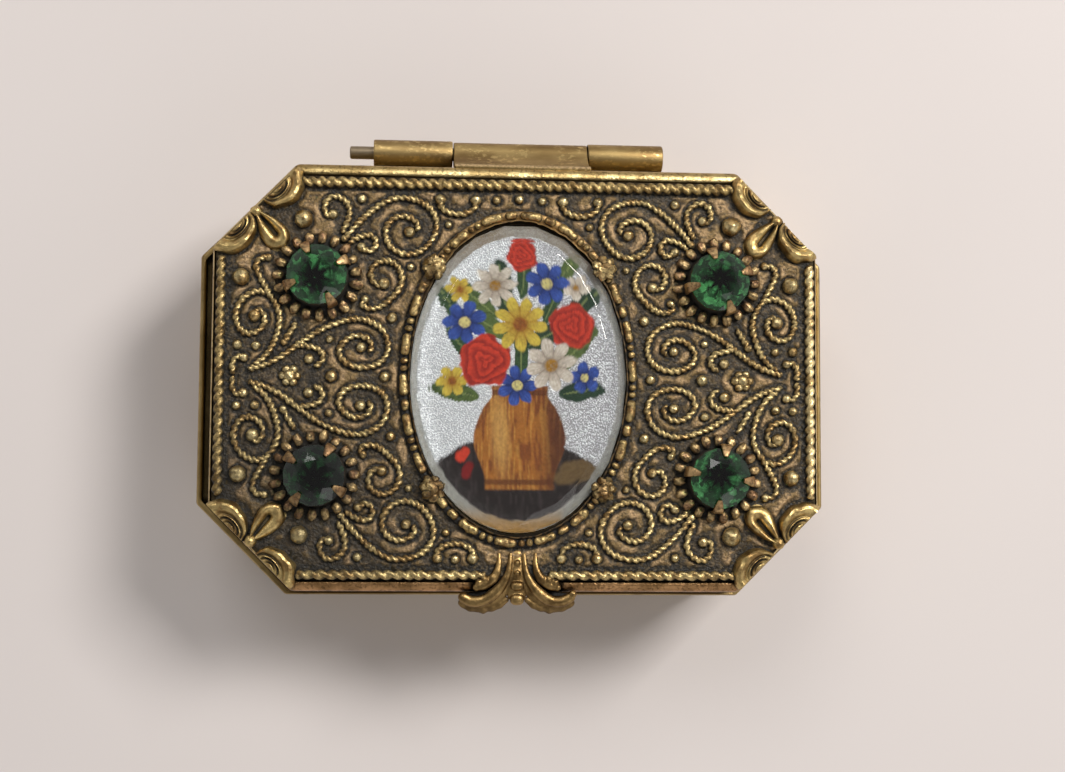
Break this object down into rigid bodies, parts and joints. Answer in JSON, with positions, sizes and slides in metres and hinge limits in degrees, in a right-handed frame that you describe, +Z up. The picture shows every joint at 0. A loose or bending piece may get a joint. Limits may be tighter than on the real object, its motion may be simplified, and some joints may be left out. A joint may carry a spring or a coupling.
{
  "type": "rosary box",
  "caption": "Small eight-sided brass keepsake box with a hinged lid, scrolled ornament, green stones and an oval picture under faceted glass.",
  "frame": {"origin": "centre of the underside, the flat face that the box rests on", "axes": "+X along the long side, +Y towards the hinge, +Z up"},
  "size_m": [0.0536, 0.0402, 0.0177],
  "materials": {
    "plain_gilt": "worn satin gilt with brown patina",
    "rim_gilt": "rubbed satin gilt",
    "inner_gilt": "satin gilt",
    "hinge_brass": "dull olive brass with mottled wear",
    "pin_steel": "dull",
    "dark_ground": "dark patina with rubbed pinkish patches",
    "antique_gold": "rubbed highlights over dark patina",
    "copper_gilt": "dull coppery",
    "pearl": "pearly",
    "print": "coloured print",
    "clear_glass": "polished",
    "green_glass": "polished facets"
  },
  "bodies": {
    "base": {"base_pan": "plain_gilt", "rim_bead": "rim_gilt", "inner_collar": "inner_gilt", "catch_stud": "inner_gilt", "hinge_knuckle_left": "hinge_brass", "hinge_knuckle_right": "hinge_brass", "hinge_pin": "pin_steel"},
    "lid": {"lid_shell": "plain_gilt", "hinge_knuckle_middle": "hinge_brass", "filigree_plate": "dark_ground", "rope_border": "antique_gold", "scroll_wires": "antique_gold", "granules": "antique_gold", "corner_shells": "antique_gold", "oval_frame": "antique_gold", "frame_claws": "antique_gold", "thumb_piece": "antique_gold", "front_petals": "antique_gold", "pearl_card": "pearl", "picture_print": "print", "glass_oval": "clear_glass", "setting_back_left": "copper_gilt", "setting_back_right": "copper_gilt", "setting_front_left": "copper_gilt", "setting_front_right": "copper_gilt", "stone_back_left": "green_glass", "stone_back_right": "green_glass", "stone_front_left": "green_glass", "stone_front_right": "green_glass", "setting_rivets": "hinge_brass"}
  },
  "joints": [
    {"name": "lid_hinge", "type": "hinge", "parent": "base", "child": "lid", "pos_m": [0, 0.0197, 0.0105], "axis": [-1, 0, 0], "range_deg": [0, 105]}
  ]
}
